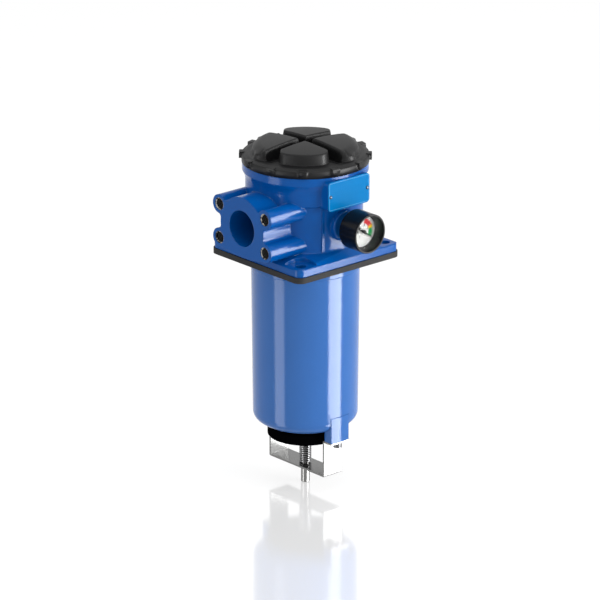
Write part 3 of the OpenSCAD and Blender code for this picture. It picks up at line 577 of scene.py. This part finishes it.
# %% [markdown]
# ## Screw threads in the port
# The four inserts are threaded steel. The shade deep in them is painted as a
# near black colour, and a few glints of light are painted at the mouth. A thread
# could be a bump, but it has to show in the shape too. It is a V-shaped ridge
# that climbs as it goes round, which is what spin does when each step is also
# moved a little along the axis.

# %% Steel of the inserts, with painted shade and painted glints
MOUTH_DEEP = 1.0 * MM
insert_low, insert_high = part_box("thread_inserts")
insert_steel = Finish("insert_steel")
turning = insert_steel.noise(0.3, stretch=(1, 8, 8))
mouth = insert_steel.axis("X") < insert_low.x + MOUTH_DEEP
# Painted highlights: noise paints glints of light on the first millimetre of each insert's mouth.
painted_glints = (mouth * ((insert_steel.noise(1.6, 1) - 0.42) * 4.0)).math("MINIMUM", 0.8)
insert_steel.surface(
    # Painted shade: the steel is near black, as a bore looks in its own shade, and it is grey only
    # where the glints are painted.
    base_color=insert_steel.blend(painted_glints + turning * 0.06, (0.01, 0.01, 0.012), (0.42, 0.42, 0.4)),
    metallic=1.0,
    roughness=0.2 + turning * 0.12,
    normal=insert_steel.bump(turning, 0.01))
wear(insert_steel, "thread_inserts")

# %% Thread ridges
PITCH, TURNS, STEPS = 1.75 * MM, 8, 28
ROOT_R, CREST_R, INSERT_R = 5.16 * MM, 4.55 * MM, 6.5 * MM
start_x = insert_low.x + MOUTH_DEEP
mid_z = (insert_low.z + insert_high.z) / 2
reach_y = insert_high.y - INSERT_R
reach_z = (insert_high.z - insert_low.z) / 2 - INSERT_R
for number, (side_y, side_z) in enumerate([(-1, 1), (1, 1), (1, -1), (-1, -1)], 1):
    shape = bmesh.new()
    corners = [(0, ROOT_R), (0.7 * PITCH, ROOT_R), (0.35 * PITCH, CREST_R)]
    ridge = shape.faces.new([shape.verts.new((start_x + x, 0, r)) for x, r in corners])
    bmesh.ops.spin(shape, geom=[ridge, *ridge.edges, *ridge.verts], cent=(0, 0, 0), axis=(1, 0, 0),
                   dvec=(PITCH / STEPS, 0, 0), angle=2 * pi * TURNS, steps=STEPS * TURNS)
    shape.transform(Matrix.Translation((0, side_y * reach_y, mid_z + side_z * reach_z)))
    piece(f"port_thread_{number}", shape, insert_steel, "housing")

# %% [markdown]
# ## Camera
# The photograph was taken from about 20 degrees above, from the side of the port
# and the gauge. A wide lens close by would spread the filter's lines, but they
# are almost parallel, so the camera is far off with a long lens.

# %% Camera
AZIMUTH, ELEVATION, DISTANCE, PX_PER_MM = radians(-41.41), radians(19.50), 5.0, 0.9713
PICTURE_PX, SENSOR_MM = 600, 36
AIM, SHIFT_RIGHT, SHIFT_UP = Vector((0, 0, -0.04)), 0.005556, 0.009656
TOWARD = Vector((sin(AZIMUTH), -cos(AZIMUTH), 0))
RIGHT = Vector((cos(AZIMUTH), sin(AZIMUTH), 0))
BACK = TOWARD * cos(ELEVATION) + Vector((0, 0, sin(ELEVATION)))
UP = BACK.cross(RIGHT)
camera_data = bpy.data.cameras.new("camera")
camera_data.sensor_width = SENSOR_MM
camera_data.lens = PX_PER_MM * DISTANCE / MM / PICTURE_PX * SENSOR_MM
camera_data.clip_start, camera_data.clip_end = 0.1, 50
camera = bpy.data.objects.new("camera", camera_data)
bpy.context.scene.collection.objects.link(camera)
camera.location = AIM + BACK * DISTANCE - RIGHT * SHIFT_RIGHT - UP * SHIFT_UP
camera.rotation_euler = BACK.to_track_quat("Z", "Y").to_euler()
bpy.context.scene.camera = camera
print("lens", round(camera_data.lens, 1), "mm")

# %% [markdown]
# ## Floor and surround
# The photograph has a white surround and a glossy floor that starts at the tip
# of the stem. More light would whiten the floor, but it would wash out the
# filter too. So the floor and the world are bright only where the camera looks,
# straight or by a mirror, and dimmer as a source of light. Mirror rays from the
# paint pass through the floor, or it would cut the stripes of the lamps short.
# From below the floor is clear.

# %% Finish of the floor
MIRROR_SHARE, FLOOR_GLOW, FLOOR_LIGHT = 0.36, 0.72, 0.05
white_board = Finish("floor_finish")
shine = white_board.node("ShaderNodeBsdfGlossy", {}, {
    "Color": (0.9, 0.9, 0.9), "Roughness": 0.1}, out="BSDF")
matt = white_board.node("ShaderNodeBsdfDiffuse", {}, {"Color": (0.4, 0.4, 0.4)}, out="BSDF")
glow = white_board.node("ShaderNodeEmission", {}, {
    "Color": (1, 1, 1), "Strength": white_board.seen() * FLOOR_GLOW + FLOOR_LIGHT}, out="Emission")
plain = white_board.node("ShaderNodeAddShader", {}, {0: matt, 1: glow}, out="Shader")
top_side = white_board.node("ShaderNodeMixShader", {}, {
    "Fac": MIRROR_SHARE, 1: plain, 2: shine}, out="Shader")
behind = white_board.node("ShaderNodeNewGeometry", out="Backfacing")
clear = white_board.node("ShaderNodeBsdfTransparent", out="BSDF")
white_board.close(white_board.node("ShaderNodeMixShader", {}, {
    "Fac": behind, 1: top_side, 2: clear}, out="Shader"))

# %% Floor
FLOOR_HALF, FLOOR_GAP = 6, 0.2 * MM
stem_low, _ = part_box("valve_stem")
shape = bmesh.new()
bmesh.ops.create_grid(shape, x_segments=2, y_segments=2, size=FLOOR_HALF)
shape.transform(Matrix.Translation((0, 0, stem_low.z - FLOOR_GAP)))
mesh = bpy.data.meshes.new("floor")
shape.to_mesh(mesh)
shape.free()
mesh.materials.append(white_board.material)
floor = bpy.data.objects.new("floor", mesh)
bpy.context.scene.collection.objects.link(floor)
floor.visible_glossy = False
print("floor at", round(stem_low.z / MM, 1), "mm")

# %% World
SKY_LIGHT = 0.62
world = bpy.data.worlds.new("studio")
bpy.context.scene.world = world
sky = Graph(world)
sky.close(sky.node("ShaderNodeBackground", {}, {
    "Color": (1, 1, 1), "Strength": sky.seen() * (1 - SKY_LIGHT) + SKY_LIGHT}, out="Background"),
    "ShaderNodeOutputWorld")
print("sky lights the filter at", SKY_LIGHT, "and shows white")

# %% [markdown]
# ## Strip lights
# The blue paint mirrors two tall strip lights: a bright one about 65 degrees to
# the right of the camera and a fainter one to the left. One lamp a side would do,
# but a lamp bright enough for a white stripe washes out the colour round it. So
# each strip is two lamps: one gives the wide light and isn't mirrored, and a
# brighter one just before it shows only in gloss.


# %% Lights
def softbox(name, turn, height, distance, width, tall, radiance, aim_z):
    """An area lamp at an angle to the right of the camera, facing the filter."""
    lamp = bpy.data.lights.new(name, "AREA")
    lamp.shape, lamp.size, lamp.size_y = "RECTANGLE", width, tall
    lamp.energy = radiance * 4 * width * tall
    holder = bpy.data.objects.new(name, lamp)
    bpy.context.scene.collection.objects.link(holder)
    t = radians(turn)
    holder.location = (TOWARD * cos(t) + RIGHT * sin(t)) * distance + Vector((0, 0, height))
    facing = holder.location - Vector((0, 0, aim_z))
    holder.rotation_euler = facing.to_track_quat("Z", "Y").to_euler()
    print(name, [round(v, 2) for v in holder.location], round(lamp.energy, 1), "W")
    return holder


STRIP_Z = -0.25
for name, turn, distance, width, tall, radiance, hidden_from in [
        ("strip_right", 66, 1.5, 0.84, 1.9, 5.6, "visible_glossy"),
        ("strip_right_shine", 66, 1.4, 0.78, 1.8, 19.0, "visible_diffuse"),
        ("strip_left", -57, 1.5, 0.6, 1.9, 1.6, "visible_glossy"),
        ("strip_left_shine", -57, 1.4, 0.56, 1.8, 4.4, "visible_diffuse")]:
    strip = softbox(name, turn, STRIP_Z, distance, width, tall, radiance, STRIP_Z)
    setattr(strip, hidden_from, False)
softbox("top_light", 10, 1.6, 0.3, 1.2, 1.2, 1.6, -0.05)

# %% Picture settings and the end
bpy.context.scene.view_settings.view_transform = "Standard"
